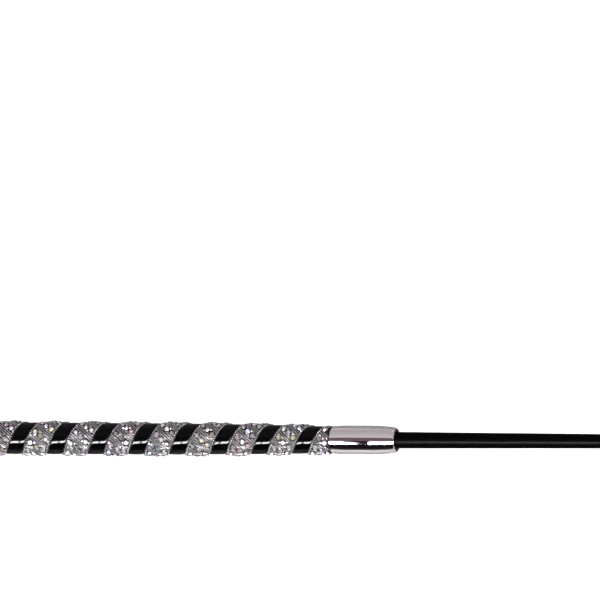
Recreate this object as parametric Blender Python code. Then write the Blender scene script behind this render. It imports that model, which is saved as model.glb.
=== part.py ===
"""Dressage whip: a slim riding whip with a jewelled spiral grip and a braided lash.

The whip is designed along its own X axis, butt end at x = 0 and lash end at +X.  One empty
then lays it on the floor, z = 0, where it rests on the rim of its end cap and on the thread
whipping near its tip.  The lash lies on the floor and turns about a second empty at the neck.
Lengths are in metres.
"""

import math

import bmesh
import bpy
from mathutils import Matrix, Vector

MM = 0.001

# ---- driving dimensions -------------------------------------------------------------------
# lengths along the whip, in order from the butt
CAP_LENGTH = 19.0 * MM            # end cap, butt face to the edge of its skirt
GRIP_LENGTH = 175.0 * MM          # wrapped part of the handle
FERRULE_LENGTH = 30.0 * MM        # metal ferrule between the grip and the shaft
SHAFT_LENGTH = 698.4 * MM         # braid in the open, ferrule mouth to tip whipping
WHIPPING_LENGTH = 20.0 * MM       # thread whipping over the tip of the braid
ROOT_LENGTH = 14.3 * MM           # braid of the lash that grips the end of the rod
NECK_SPACE = 1.5 * MM             # end of the lash root to the point where the lash bends

# end cap
CAP_RADIUS = 10.0 * MM            # widest part of the head
CAP_FACE_RADIUS = 4.0 * MM        # flat on the butt
CAP_SKIRT_RADIUS = 8.5 * MM
CAP_HEAD_LENGTH = 12.0 * MM
CAP_WALL = 0.7 * MM
PLUG_STEM_RADIUS = 4.0 * MM       # stem of the plug, glued into the handle core
PLUG_STEM_LENGTH = 16.0 * MM

# grip, radii measured over the patent strip
GRIP_BUTT_RADIUS = 7.25 * MM
GRIP_BELLY_RADIUS = 7.1 * MM
GRIP_NECK_RADIUS = 6.0 * MM       # where the grip meets the ferrule
NECK_TAPER_LENGTH = 90.0 * MM     # the grip slims down over this length
WRAP_PITCH = 19.3 * MM
PATENT_WIDTH = 7.9 * MM           # widths are measured along the whip
PATENT_THICKNESS = 1.0 * MM
CRYSTAL_THICKNESS = 1.75 * MM     # tape and stones together
LAST_TURN_GAP = 11.0 * MM         # ferrule to where the last patent turn faces straight up

# ferrule and bush
FERRULE_RADIUS = 6.5 * MM
FERRULE_RIM_STEP = 0.35 * MM      # the grip end is this much slimmer
FERRULE_RIM_LENGTH = 7.0 * MM     # over which it swells to the full radius
FERRULE_NOSE_LENGTH = 11.6 * MM
FERRULE_NOSE_POWER = 2.2          # 2 is an ellipse, more is squarer
FERRULE_WALL = 0.45 * MM
MOUTH_WALL = 0.3 * MM
BUSH_WALL = 0.45 * MM
BUSH_LENGTH = 9.0 * MM
BUSH_STAND_OUT = 0.4 * MM         # bush past the ferrule's mouth

# shaft, radii over the braid
SHAFT_ROOT_RADIUS = 3.74 * MM     # where it leaves the ferrule
SHAFT_TIP_RADIUS = 1.98 * MM
SHAFT_TAPER_LENGTH = 565.0 * MM   # the rest of the shaft is parallel
SHAFT_TAPER_POWER = 1.73
BRAID_WALL = 0.4 * MM
BRAID_SETBACK = 1.5 * MM          # handle core's end to the braid's, inside the ferrule
ROD_BUTT_RADIUS = 3.3 * MM        # bare rod inside the handle

# tip
WHIPPED_BRAID_RADIUS = 1.85 * MM  # braid pulled tight under the whipping
WHIPPING_END_THICKNESS = 0.35 * MM
WHIPPING_THICKNESS = 0.6 * MM     # at its middle
ROOT_RADIUS = 1.85 * MM
ROOT_END_RADIUS = 1.5 * MM
ROOT_WALL = 0.45 * MM
ROOT_BORE_LENGTH = 10.0 * MM
NECK_RADIUS = 1.15 * MM

# lash
LASH_RADIUS = 1.6 * MM
LASH_START = 1.8 * MM             # bend point to the first of the lash cord
LASH_END_RADIUS = 2.0 * MM
LASH_END_LENGTH = 5.0 * MM
TUFT_LENGTH = 12.0 * MM
TUFT_RADIUS = 1.9 * MM

CLEARANCE = 0.3 * MM              # between pieces that touch on the real whip
THREAD_CLEARANCE = 0.2 * MM       # under the whipping
FLOOR_CLEARANCE = 0.03 * MM

# route of the lash from its bend point, in millimetres: along, aside, lift off the floor
LASH_ROUTE = [
    (1.8, 0.0, 0.8), (6.0, 0.05, 0.52), (12.0, 0.4, 0.12), (20.0, 0.85, 0.0), (29.0, 1.15, 0.0),
    (38.0, 1.25, 0.0), (47.0, 1.2, 0.0), (54.0, 1.1, 0.0), (61.0, 1.3, 0.0), (69.0, 1.9, 0.0),
    (78.0, 2.35, 0.0), (87.0, 2.35, 0.0), (93.0, 1.75, 0.0), (101.0, 0.3, 0.0),
    (109.0, -1.5, 0.0), (117.0, -2.7, 0.12), (125.0, -3.0, 0.4),
]
LASH_STEP = 2.5 * 2 * LASH_RADIUS  # between points of the cord

ROUND_SEGMENTS = 24
WRAP_SEGMENTS = 20                # per turn of the strips
SMALL_SEGMENTS = 16

# ---- places that follow from them ---------------------------------------------------------
GRIP_START = CAP_LENGTH
FERRULE_START = GRIP_START + GRIP_LENGTH
MOUTH = FERRULE_START + FERRULE_LENGTH
WHIPPING_START = MOUTH + SHAFT_LENGTH
ROOT_START = WHIPPING_START + WHIPPING_LENGTH
ROOT_END = ROOT_START + ROOT_LENGTH
BEND_POINT = ROOT_END + NECK_SPACE

CRYSTAL_WIDTH = WRAP_PITCH - PATENT_WIDTH - 2 * CLEARANCE
BUSH_BORE_RADIUS = SHAFT_ROOT_RADIUS + CLEARANCE
BUSH_RADIUS = BUSH_BORE_RADIUS + BUSH_WALL
MOUTH_BORE_RADIUS = BUSH_RADIUS + CLEARANCE
FERRULE_MOUTH_RADIUS = MOUTH_BORE_RADIUS + MOUTH_WALL
FERRULE_BORE_RADIUS = FERRULE_RADIUS - FERRULE_RIM_STEP - FERRULE_WALL
WHIPPING_BORE_RADIUS = WHIPPED_BRAID_RADIUS + THREAD_CLEARANCE
WHIPPING_END_RADIUS = WHIPPING_BORE_RADIUS + WHIPPING_END_THICKNESS
WHIPPING_RADIUS = WHIPPING_BORE_RADIUS + WHIPPING_THICKNESS
LASH_HEIGHT = LASH_RADIUS + FLOOR_CLEARANCE
NOSE_START = MOUTH - FERRULE_NOSE_LENGTH  # the handle core ends here too
BRAID_START = NOSE_START + BRAID_SETBACK
ROD_BORE_RADIUS = ROD_BUTT_RADIUS + CLEARANCE
PLUG_STEM_END = CAP_LENGTH + PLUG_STEM_LENGTH


def grip_radius(x):
    """Radius over the patent strip at x along the whip."""
    from_ferrule = FERRULE_START - x
    if from_ferrule < NECK_TAPER_LENGTH:
        rest = 1 - max(from_ferrule, 0) / NECK_TAPER_LENGTH
        return GRIP_BELLY_RADIUS - (GRIP_BELLY_RADIUS - GRIP_NECK_RADIUS) * rest ** 2
    share = (from_ferrule - NECK_TAPER_LENGTH) / (GRIP_LENGTH - NECK_TAPER_LENGTH)
    return GRIP_BELLY_RADIUS + (GRIP_BUTT_RADIUS - GRIP_BELLY_RADIUS) * share


def core_radius(x):
    """Radius of the handle core under the two strips."""
    return grip_radius(x) - PATENT_THICKNESS - CLEARANCE


def shaft_radius(x):
    """Radius over the braid at x along the whip."""
    rest = 1 - (x - MOUTH) / SHAFT_TAPER_LENGTH
    if rest <= 0:
        return SHAFT_TIP_RADIUS
    rest = min(rest, 1)
    return SHAFT_TIP_RADIUS + (SHAFT_ROOT_RADIUS - SHAFT_TIP_RADIUS) * rest ** SHAFT_TAPER_POWER


def rod_radius(x):
    """Radius of the fibreglass rod under the braid."""
    return shaft_radius(x) - BRAID_WALL - CLEARANCE


def ferrule_radius(x, inset=0.0, mouth_radius=FERRULE_MOUTH_RADIUS):
    """Outer radius of the ferrule, or of its inside when an inset is given."""
    body = FERRULE_RADIUS - inset
    if x < FERRULE_START + FERRULE_RIM_LENGTH:
        share = (x - FERRULE_START) / FERRULE_RIM_LENGTH
        return body - FERRULE_RIM_STEP * (1 - share) ** 2
    if x < NOSE_START:
        return body
    share = min((x - NOSE_START) / FERRULE_NOSE_LENGTH, 1)
    swell = (1 - share ** FERRULE_NOSE_POWER) ** (1 / FERRULE_NOSE_POWER)
    return mouth_radius + (body - mouth_radius) * swell


def spread(start, end, count):
    """count + 1 values from start to end."""
    return [start + (end - start) * i / count for i in range(count + 1)]


# ---- making pieces ------------------------------------------------------------------------
def make_material(name, colour, roughness, metallic=0.0):
    made = bpy.data.materials.new(name)
    made.use_nodes = True
    shader = made.node_tree.nodes["Principled BSDF"]
    shader.inputs["Base Color"].default_value = (*colour, 1)
    shader.inputs["Roughness"].default_value = roughness
    shader.inputs["Metallic"].default_value = metallic
    made.diffuse_color = (*colour, 1)
    return made


def add_mesh(name, bm, material, parent):
    bmesh.ops.recalc_face_normals(bm, faces=bm.faces)
    mesh = bpy.data.meshes.new(name)
    bm.to_mesh(mesh)
    bm.free()
    mesh.shade_smooth()
    mesh.set_sharp_from_angle(angle=math.radians(35))
    mesh.materials.append(material)
    made = bpy.data.objects.new(name, mesh)
    bpy.context.collection.objects.link(made)
    made.parent = parent
    return made


def turn(name, outline, material, parent, segments=ROUND_SEGMENTS):
    """Turn an outline of (x, radius) about X.

    It either starts and ends on the axis, or is the closed outline of a hollow piece.
    """
    bm = bmesh.new()
    points = [bm.verts.new((x, 0, radius)) for x, radius in outline]
    edges = [bm.edges.new(pair) for pair in zip(points, points[1:])]
    if outline[0][1] > 0:
        edges.append(bm.edges.new((points[-1], points[0])))
    bmesh.ops.spin(bm, geom=points + edges, cent=(0, 0, 0), axis=(1, 0, 0), dvec=(0, 0, 0),
                   angle=math.tau, steps=segments, use_merge=True, use_duplicate=False)
    bmesh.ops.remove_doubles(bm, verts=bm.verts, dist=1e-6)
    return add_mesh(name, bm, material, parent)


def wind_strip(name, top, width, thickness, material, parent):
    """Wind a strip round the handle core, left-handed, trimmed square at both ends.

    top is a place along the whip where the middle of the strip faces straight up.
    """
    start = GRIP_START + CLEARANCE
    end = FERRULE_START - CLEARANCE
    sliver = width / 12                      # narrowest that a trimmed end gets

    first = (start + sliver - width / 2 - top) / WRAP_PITCH
    last = (end - sliver + width / 2 - top) / WRAP_PITCH
    steps = round((last - first) * WRAP_SEGMENTS)
    bm = bmesh.new()
    rings = []
    for turns in spread(first, last, steps):
        middle = top + turns * WRAP_PITCH
        low = max(middle - width / 2, start)
        high = min(middle + width / 2, end)
        chamfer = min(0.25 * thickness, (high - low) / 4)
        section = [(low, 0), (high, 0), (high, thickness - chamfer), (high - chamfer, thickness),
                   (low + chamfer, thickness), (low, thickness - chamfer)]
        angle = math.tau / 4 - math.tau * turns
        ring = []
        for x, height in section:
            radius = core_radius(x) + CLEARANCE + height
            ring.append(bm.verts.new((x, radius * math.cos(angle), radius * math.sin(angle))))
        rings.append(ring)
    for near, far in zip(rings, rings[1:]):
        for i in range(len(near)):
            j = (i + 1) % len(near)
            bm.faces.new((near[i], near[j], far[j], far[i]))
    bm.faces.new(rings[0])
    bm.faces.new(rings[-1])
    return add_mesh(name, bm, material, parent)


# ---- butt end -----------------------------------------------------------------------------
def cap_outline(wall):
    """Profile of the cap's head and skirt, set in by wall, from the axis to the skirt's edge."""
    face = CAP_FACE_RADIUS - wall / 2
    head = CAP_RADIUS - wall
    skirt = CAP_SKIRT_RADIUS - wall
    crown = CAP_HEAD_LENGTH * 0.55           # the head is widest here
    points = [(wall, 0), (wall, face)]
    for angle in spread(0, math.tau / 4, 7)[1:]:
        points.append((crown - (crown - wall) * math.cos(angle), face + (head - face) * math.sin(angle)))
    for angle in spread(0, math.tau / 4, 4)[1:]:
        points.append((crown + (CAP_HEAD_LENGTH - crown) * math.sin(angle),
                       skirt + (head - skirt) * math.cos(angle)))
    points.append((CAP_LENGTH, skirt))
    return points


def make_end_cap(chrome, whip):
    outer = cap_outline(0)
    inner = cap_outline(CAP_WALL)
    return turn("end_cap", outer + inner[::-1], chrome, whip)


def make_cap_plug(plastic, whip):
    head = cap_outline(CAP_WALL + CLEARANCE)
    end = PLUG_STEM_END - CLEARANCE
    shoulder = CAP_LENGTH - CLEARANCE
    outline = [point for point in head if point[0] < shoulder]
    outline += [(shoulder, head[-1][1]), (shoulder, PLUG_STEM_RADIUS), (end, PLUG_STEM_RADIUS), (end, 0)]
    return turn("cap_plug", outline, plastic, whip)


# ---- handle -------------------------------------------------------------------------------
def make_handle_core(plastic, whip):
    start = CAP_LENGTH
    taper_start = FERRULE_START - NECK_TAPER_LENGTH
    spigot = FERRULE_BORE_RADIUS - CLEARANCE
    stem_bore = PLUG_STEM_RADIUS + CLEARANCE
    stations = [start] + spread(taper_start, FERRULE_START, 6)
    outline = [(PLUG_STEM_END, ROD_BORE_RADIUS), (PLUG_STEM_END, stem_bore), (start, stem_bore)]
    outline += [(x, core_radius(x)) for x in stations]
    outline += [(FERRULE_START, spigot), (NOSE_START, spigot), (NOSE_START, ROD_BORE_RADIUS)]
    return turn("handle_core", outline, plastic, whip)


def make_strips(patent, crystal, whip):
    patent_top = FERRULE_START - LAST_TURN_GAP
    crystal_top = patent_top + (PATENT_WIDTH + CRYSTAL_WIDTH) / 2 + CLEARANCE
    wind_strip("patent_strip", patent_top, PATENT_WIDTH, PATENT_THICKNESS, patent, whip)
    wind_strip("crystal_strip", crystal_top, CRYSTAL_WIDTH, CRYSTAL_THICKNESS, crystal, whip)


def make_ferrule(chrome, whip):
    wall = FERRULE_RADIUS - FERRULE_BORE_RADIUS
    rim = spread(FERRULE_START, FERRULE_START + FERRULE_RIM_LENGTH, 3)
    nose = [NOSE_START + FERRULE_NOSE_LENGTH * math.sin(angle) for angle in spread(0, math.tau / 4, 8)]
    outline = [(x, ferrule_radius(x)) for x in rim + nose]
    inside = [(x, ferrule_radius(x, wall, MOUTH_BORE_RADIUS)) for x in nose]
    outline += inside[::-1]
    outline.append((FERRULE_START, FERRULE_BORE_RADIUS))
    return turn("ferrule", outline, chrome, whip)


def make_ferrule_bush(rubber, whip):
    end = MOUTH + BUSH_STAND_OUT
    start = end - BUSH_LENGTH
    lip = BUSH_WALL / 3
    outline = [(start, BUSH_BORE_RADIUS), (start, BUSH_RADIUS), (end - lip, BUSH_RADIUS),
               (end, BUSH_RADIUS - lip), (end, BUSH_BORE_RADIUS)]
    return turn("ferrule_bush", outline, rubber, whip)


# ---- shaft --------------------------------------------------------------------------------
def make_shaft_core(glassfibre, whip):
    start = PLUG_STEM_END
    tip = ROOT_START + ROOT_BORE_LENGTH - CLEARANCE
    under_whipping = WHIPPED_BRAID_RADIUS - BRAID_WALL - THREAD_CLEARANCE
    in_root = min(ROOT_RADIUS - ROOT_WALL - THREAD_CLEARANCE, under_whipping)
    outline = [(start, 0), (start, ROD_BUTT_RADIUS), (NOSE_START + CLEARANCE, ROD_BUTT_RADIUS)]
    outline.append((BRAID_START - CLEARANCE, rod_radius(MOUTH)))
    outline += [(x, rod_radius(x)) for x in spread(MOUTH, MOUTH + SHAFT_TAPER_LENGTH, 12)]
    outline += [(WHIPPING_START - WHIPPING_LENGTH, rod_radius(WHIPPING_START)),
                (WHIPPING_START, under_whipping), (ROOT_START, in_root), (tip - in_root, in_root),
                (tip, 0.6 * in_root), (tip, 0)]
    return turn("shaft_core", outline, glassfibre, whip)


def make_shaft_braid(nylon, whip):
    squeeze = WHIPPING_START - 2 * WHIPPED_BRAID_RADIUS
    end = ROOT_START - CLEARANCE
    stations = [BRAID_START] + spread(MOUTH, MOUTH + SHAFT_TAPER_LENGTH, 12) + [squeeze]
    outer = [(x, shaft_radius(x)) for x in stations]
    outer += [(WHIPPING_START, WHIPPED_BRAID_RADIUS), (end, WHIPPED_BRAID_RADIUS)]
    outline = outer + [(x, radius - BRAID_WALL) for x, radius in reversed(outer)]
    return turn("shaft_braid", outline, nylon, whip)


def make_tip_whipping(thread, whip):
    start = WHIPPING_START + CLEARANCE
    end = ROOT_START - CLEARANCE
    outline = [(start, WHIPPING_BORE_RADIUS)]
    for share in spread(0, 1, 8):
        bulge = math.sin(math.pi * share) ** 0.6 if 0 < share < 1 else 0
        radius = WHIPPING_END_RADIUS + (WHIPPING_RADIUS - WHIPPING_END_RADIUS) * bulge
        outline.append((start + (end - start) * share, radius))
    outline.append((end, WHIPPING_BORE_RADIUS))
    return turn("tip_whipping", outline, thread, whip)


def make_lash_root(nylon, whip):
    bore = ROOT_RADIUS - ROOT_WALL
    bore_end = ROOT_START + ROOT_BORE_LENGTH
    outline = [(bore_end, 0), (bore_end, bore), (ROOT_START, bore)]
    for share in spread(0, 1, 5):
        radius = ROOT_RADIUS - (ROOT_RADIUS - ROOT_END_RADIUS) * share ** 2
        outline.append((ROOT_START + ROOT_LENGTH * share, radius))
    outline.append((ROOT_END, 0))
    return turn("lash_root", outline, nylon, whip)


# ---- lash ---------------------------------------------------------------------------------
def make_neck_whipping(thread, pivot):
    outline = [(-NECK_RADIUS * math.cos(angle), NECK_RADIUS * math.sin(angle))
               for angle in spread(0, math.pi, 8)]
    outline[0] = (-NECK_RADIUS, 0)
    outline[-1] = (NECK_RADIUS, 0)
    return turn("neck_whipping", outline, thread, pivot, SMALL_SEGMENTS)


def smooth_route(route, pivot_height):
    """Points a step apart along a smooth curve through the route, seen from the pivot."""
    points = [Vector(point) * MM for point in route]
    for point in points:
        point.z += LASH_HEIGHT - pivot_height
    padded = [2 * points[0] - points[1]] + points + [2 * points[-1] - points[-2]]
    fine = []
    for before, start, end, after in zip(padded, padded[1:], padded[2:], padded[3:]):
        for t in spread(0, 1, 20)[:-1]:
            pull = (end - before) * t * (1 - t) ** 2 / 2 - (after - start) * t ** 2 * (1 - t) / 2
            fine.append(start * (1 + 2 * t) * (1 - t) ** 2 + end * t ** 2 * (3 - 2 * t) + pull)
    fine.append(points[-1])
    travelled = [0.0]
    for near, far in zip(fine, fine[1:]):
        travelled.append(travelled[-1] + (far - near).length)
    count = round(travelled[-1] / LASH_STEP)
    picked = []
    for wanted in spread(0, travelled[-1], count):
        nearest = min(range(len(fine)), key=lambda i: abs(travelled[i] - wanted))
        picked.append(fine[nearest])
    return picked


def make_lash(nylon, pivot, points):
    curve = bpy.data.curves.new("lash", "CURVE")
    curve.dimensions = "3D"
    curve.bevel_depth = LASH_RADIUS
    curve.bevel_resolution = 2
    curve.use_fill_caps = True
    spline = curve.splines.new("POLY")
    spline.points.add(len(points) - 1)
    for place, point in zip(spline.points, points):
        place.co = (*point, 1)
    curve.materials.append(nylon)
    made = bpy.data.objects.new("lash", curve)
    bpy.context.collection.objects.link(made)
    made.parent = pivot
    return made


def make_lash_end(thread, nylon, pivot, points):
    """Thread whipping on the end of the lash, and the tuft of loose strands past it."""
    onward = (points[-1] - points[-2]).normalized()
    turned = onward.to_track_quat("X", "Z")
    whipping_start = CLEARANCE
    whipping_end = whipping_start + LASH_END_LENGTH
    edge = LASH_END_RADIUS * 0.85
    outline = [(whipping_start, 0), (whipping_start, edge),
               (whipping_start + LASH_END_LENGTH * 0.25, LASH_END_RADIUS),
               (whipping_end - LASH_END_LENGTH * 0.25, LASH_END_RADIUS),
               (whipping_end, edge), (whipping_end, 0)]
    whipping = turn("lash_end_whipping", outline, thread, pivot, SMALL_SEGMENTS)
    tuft_start = whipping_end + CLEARANCE
    outline = [(tuft_start, 0), (tuft_start, LASH_RADIUS * 0.8),
               (tuft_start + TUFT_LENGTH * 0.5, TUFT_RADIUS * 0.95),
               (tuft_start + TUFT_LENGTH * 0.85, TUFT_RADIUS),
               (tuft_start + TUFT_LENGTH, TUFT_RADIUS * 0.8), (tuft_start + TUFT_LENGTH, 0)]
    tuft = turn("lash_tuft", outline, nylon, pivot, SMALL_SEGMENTS)
    for piece in (whipping, tuft):
        piece.location = points[-1]
        piece.rotation_mode = "QUATERNION"
        piece.rotation_quaternion = turned


# ---- assembly -----------------------------------------------------------------------------
def add_empty(name, matrix):
    made = bpy.data.objects.new(name, None)
    bpy.context.collection.objects.link(made)
    made.matrix_world = matrix
    return made


def lay_on_floor():
    """Matrix that rests the cap's rim and the tip whipping on z = 0, centred along X."""
    cap_contact = CAP_HEAD_LENGTH * 0.55
    tip_contact = WHIPPING_START + WHIPPING_LENGTH / 2
    tilt = math.atan2(CAP_RADIUS - WHIPPING_RADIUS, tip_contact - cap_contact)
    length = (BEND_POINT + NECK_RADIUS) * math.cos(tilt)
    height = cap_contact * math.sin(tilt) + CAP_RADIUS * math.cos(tilt)
    return Matrix.Translation((-length / 2, 0, height)) @ Matrix.Rotation(tilt, 4, "Y")


def build():
    chrome = make_material("chrome", (0.78, 0.78, 0.8), 0.08, 1.0)
    plastic = make_material("black_plastic", (0.03, 0.03, 0.03), 0.5)
    patent = make_material("patent", (0.01, 0.01, 0.012), 0.08)
    crystal = make_material("crystal", (0.72, 0.7, 0.74), 0.15, 0.3)
    rubber = make_material("black_rubber", (0.012, 0.012, 0.013), 0.6)
    glassfibre = make_material("glassfibre", (0.5, 0.47, 0.35), 0.4)
    nylon = make_material("black_nylon", (0.015, 0.014, 0.016), 0.45)
    thread = make_material("black_thread", (0.02, 0.018, 0.02), 0.6)

    resting = lay_on_floor()
    whip = add_empty("whip_axis", resting)
    bend = resting @ Vector((BEND_POINT, 0, 0))
    pivot = add_empty("lash_pivot", Matrix.Translation(bend))

    make_end_cap(chrome, whip)
    make_cap_plug(plastic, whip)
    make_handle_core(plastic, whip)
    make_strips(patent, crystal, whip)
    make_ferrule(chrome, whip)
    make_ferrule_bush(rubber, whip)
    make_shaft_core(glassfibre, whip)
    make_shaft_braid(nylon, whip)
    make_tip_whipping(thread, whip)
    make_lash_root(nylon, whip)

    route = smooth_route(LASH_ROUTE, bend.z)
    make_neck_whipping(thread, pivot)
    make_lash(nylon, pivot, route)
    make_lash_end(thread, nylon, pivot, route)


def clear_scene():
    for old in list(bpy.data.objects):
        bpy.data.objects.remove(old, do_unlink=True)


clear_scene()
build()
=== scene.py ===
import math
import random

import bmesh
import bpy
from mathutils import Matrix, Vector, noise


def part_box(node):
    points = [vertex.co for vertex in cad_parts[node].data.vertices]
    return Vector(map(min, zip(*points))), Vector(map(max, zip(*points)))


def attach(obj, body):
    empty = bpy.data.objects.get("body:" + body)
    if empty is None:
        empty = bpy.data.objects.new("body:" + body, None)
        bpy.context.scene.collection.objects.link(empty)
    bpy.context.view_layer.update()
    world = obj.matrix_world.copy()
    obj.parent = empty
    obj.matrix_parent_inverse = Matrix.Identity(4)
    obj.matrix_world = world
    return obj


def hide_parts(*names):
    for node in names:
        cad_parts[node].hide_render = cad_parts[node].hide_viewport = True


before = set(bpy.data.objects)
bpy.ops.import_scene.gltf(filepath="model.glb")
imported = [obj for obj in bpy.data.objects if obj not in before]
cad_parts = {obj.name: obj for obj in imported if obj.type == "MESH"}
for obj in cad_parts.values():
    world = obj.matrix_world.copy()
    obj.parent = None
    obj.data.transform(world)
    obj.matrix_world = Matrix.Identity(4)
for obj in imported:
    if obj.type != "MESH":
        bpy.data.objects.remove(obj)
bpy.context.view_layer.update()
random.seed(11)
mm = 0.001
tau = math.tau
print("frame loaded,", len(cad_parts), "nodes")


# where the whip lies: its axis runs from the ferrule's bush to the tip whipping
def middleOf(node):
    low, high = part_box(node)
    return (Vector(low) + Vector(high)) / 2


def acrossHalf(node):
    low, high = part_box(node)
    return (high[1] - low[1]) / 2


bushMiddle = middleOf("ferrule_bush")
whipAxis = (middleOf("tip_whipping") - bushMiddle).normalized()
bendPoint = middleOf("neck_whipping")


def axisPoint(worldX):
    return bushMiddle + whipAxis * ((worldX - bushMiddle.x) / whipAxis.x)


ferruleFoot = axisPoint(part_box("ferrule")[0][0])  # the whip's own x starts here
whipTurn = Vector((1, 0, 0)).rotation_difference(whipAxis).to_matrix().to_4x4()
whipPlace = Matrix.Translation(ferruleFoot) @ whipTurn


def startOf(node):
    return (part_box(node)[0][0] - ferruleFoot.x) / whipAxis.x


def endOf(node):
    return (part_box(node)[1][0] - ferruleFoot.x) / whipAxis.x


def spread(start, end, count):
    return [start + (end - start) * i / count for i in range(count + 1)]


ferruleLength = endOf("ferrule")


# camera: square over the handle, leaning towards the tip
view = dict(lens=1500, frameWidth=0.2688, lean=18.5, roll=0.2, right=0.01478, down=0.06266)


def makeCamera():
    lean = math.radians(view["lean"])
    roll = math.radians(view["roll"])
    back = Vector((math.sin(lean), 0, math.cos(lean)))
    level = Vector((math.cos(lean), 0, -math.sin(lean)))
    side = level * math.cos(roll) + Vector((0, 1, 0)) * math.sin(roll)
    up = back.cross(side)
    data = bpy.data.cameras.new("mainCamera")
    data.lens = view["lens"]
    distance = view["lens"] * view["frameWidth"] / data.sensor_width
    data.clip_end = 500
    camera = bpy.data.objects.new("mainCamera", data)
    aim = ferruleFoot - side * view["right"] + up * view["down"]
    turn = Matrix((side, up, back)).transposed().to_4x4()
    camera.matrix_world = Matrix.Translation(aim + back * distance) @ turn
    bpy.context.collection.objects.link(camera)
    bpy.context.scene.camera = camera


# studio: a pale floor under a banded sky, and one long lamp in front with a narrow gap in it
# sky and lampFrame are in degrees from straight up towards the front, gate in degrees along the whip
studio = dict(
    floorColour=(0.86, 0.86, 0.865), floorShade=(0.135, 0.128, 0.131), floorReach=150, floorDrop=0.02 * mm,
    floorRoughness=0.7, backdrop=(0.93, 0.93, 0.94), fill=2.4, fillColour=(1, 0.995, 1),
    lamp=95.0, lampMiddle=27, lampHalf=6, lampFrame=(6, 10), lampFade=(3, 2),
    sky=[(-110, (0.55, 0.54, 0.55)), (-60, (0.62, 0.59, 0.6)), (-24, (0.78, 0.76, 0.77)),
         (-20, (0.95, 0.94, 0.94)), (-18, (0.14, 0.12, 0.13)), (-14, (0.24, 0.18, 0.2)),
         (7, (0.24, 0.17, 0.2)), (11, (0.04, 0.035, 0.04)), (39, (0.02, 0.015, 0.02)),
         (74, (0.02, 0.015, 0.02)), (84, (0.3, 0.29, 0.29)), (110, (0.5, 0.49, 0.49))],
    gate=[(-75, 0.0), (-65, 1.0), (-18.05, 1.0), (-17.9, 0.0), (-16.6, 0.0), (-16.4, 1.0), (60, 1.0),
          (70, 0.0)])


def socketOf(sockets, name):
    for socket in sockets:
        if socket.name == name and socket.enabled:
            return socket
    raise KeyError(name)


def addNode(tree, kind, inputs=None, **settings):
    node = tree.nodes.new("ShaderNode" + kind)
    for name, value in settings.items():
        setattr(node, name, value)
    for key, value in (inputs or {}).items():
        socket = node.inputs[key] if isinstance(key, int) else socketOf(node.inputs, key)
        if isinstance(value, bpy.types.NodeSocket):
            tree.links.new(value, socket)
        else:
            socket.default_value = value
    return node


def mathNode(tree, operation, *values):
    return addNode(tree, "Math", dict(enumerate(values)), operation=operation).outputs[0]


def ramp(tree, factor, stops):
    node = addNode(tree, "ValToRGB", {"Fac": factor})
    band = node.color_ramp
    while len(band.elements) < len(stops):
        band.elements.new(0.5)
    for element, (place, colour) in zip(band.elements, stops):
        element.position = place
        element.color = (*colour, 1) if hasattr(colour, "__len__") else (colour, colour, colour, 1)
    return node.outputs["Color"]


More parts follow.
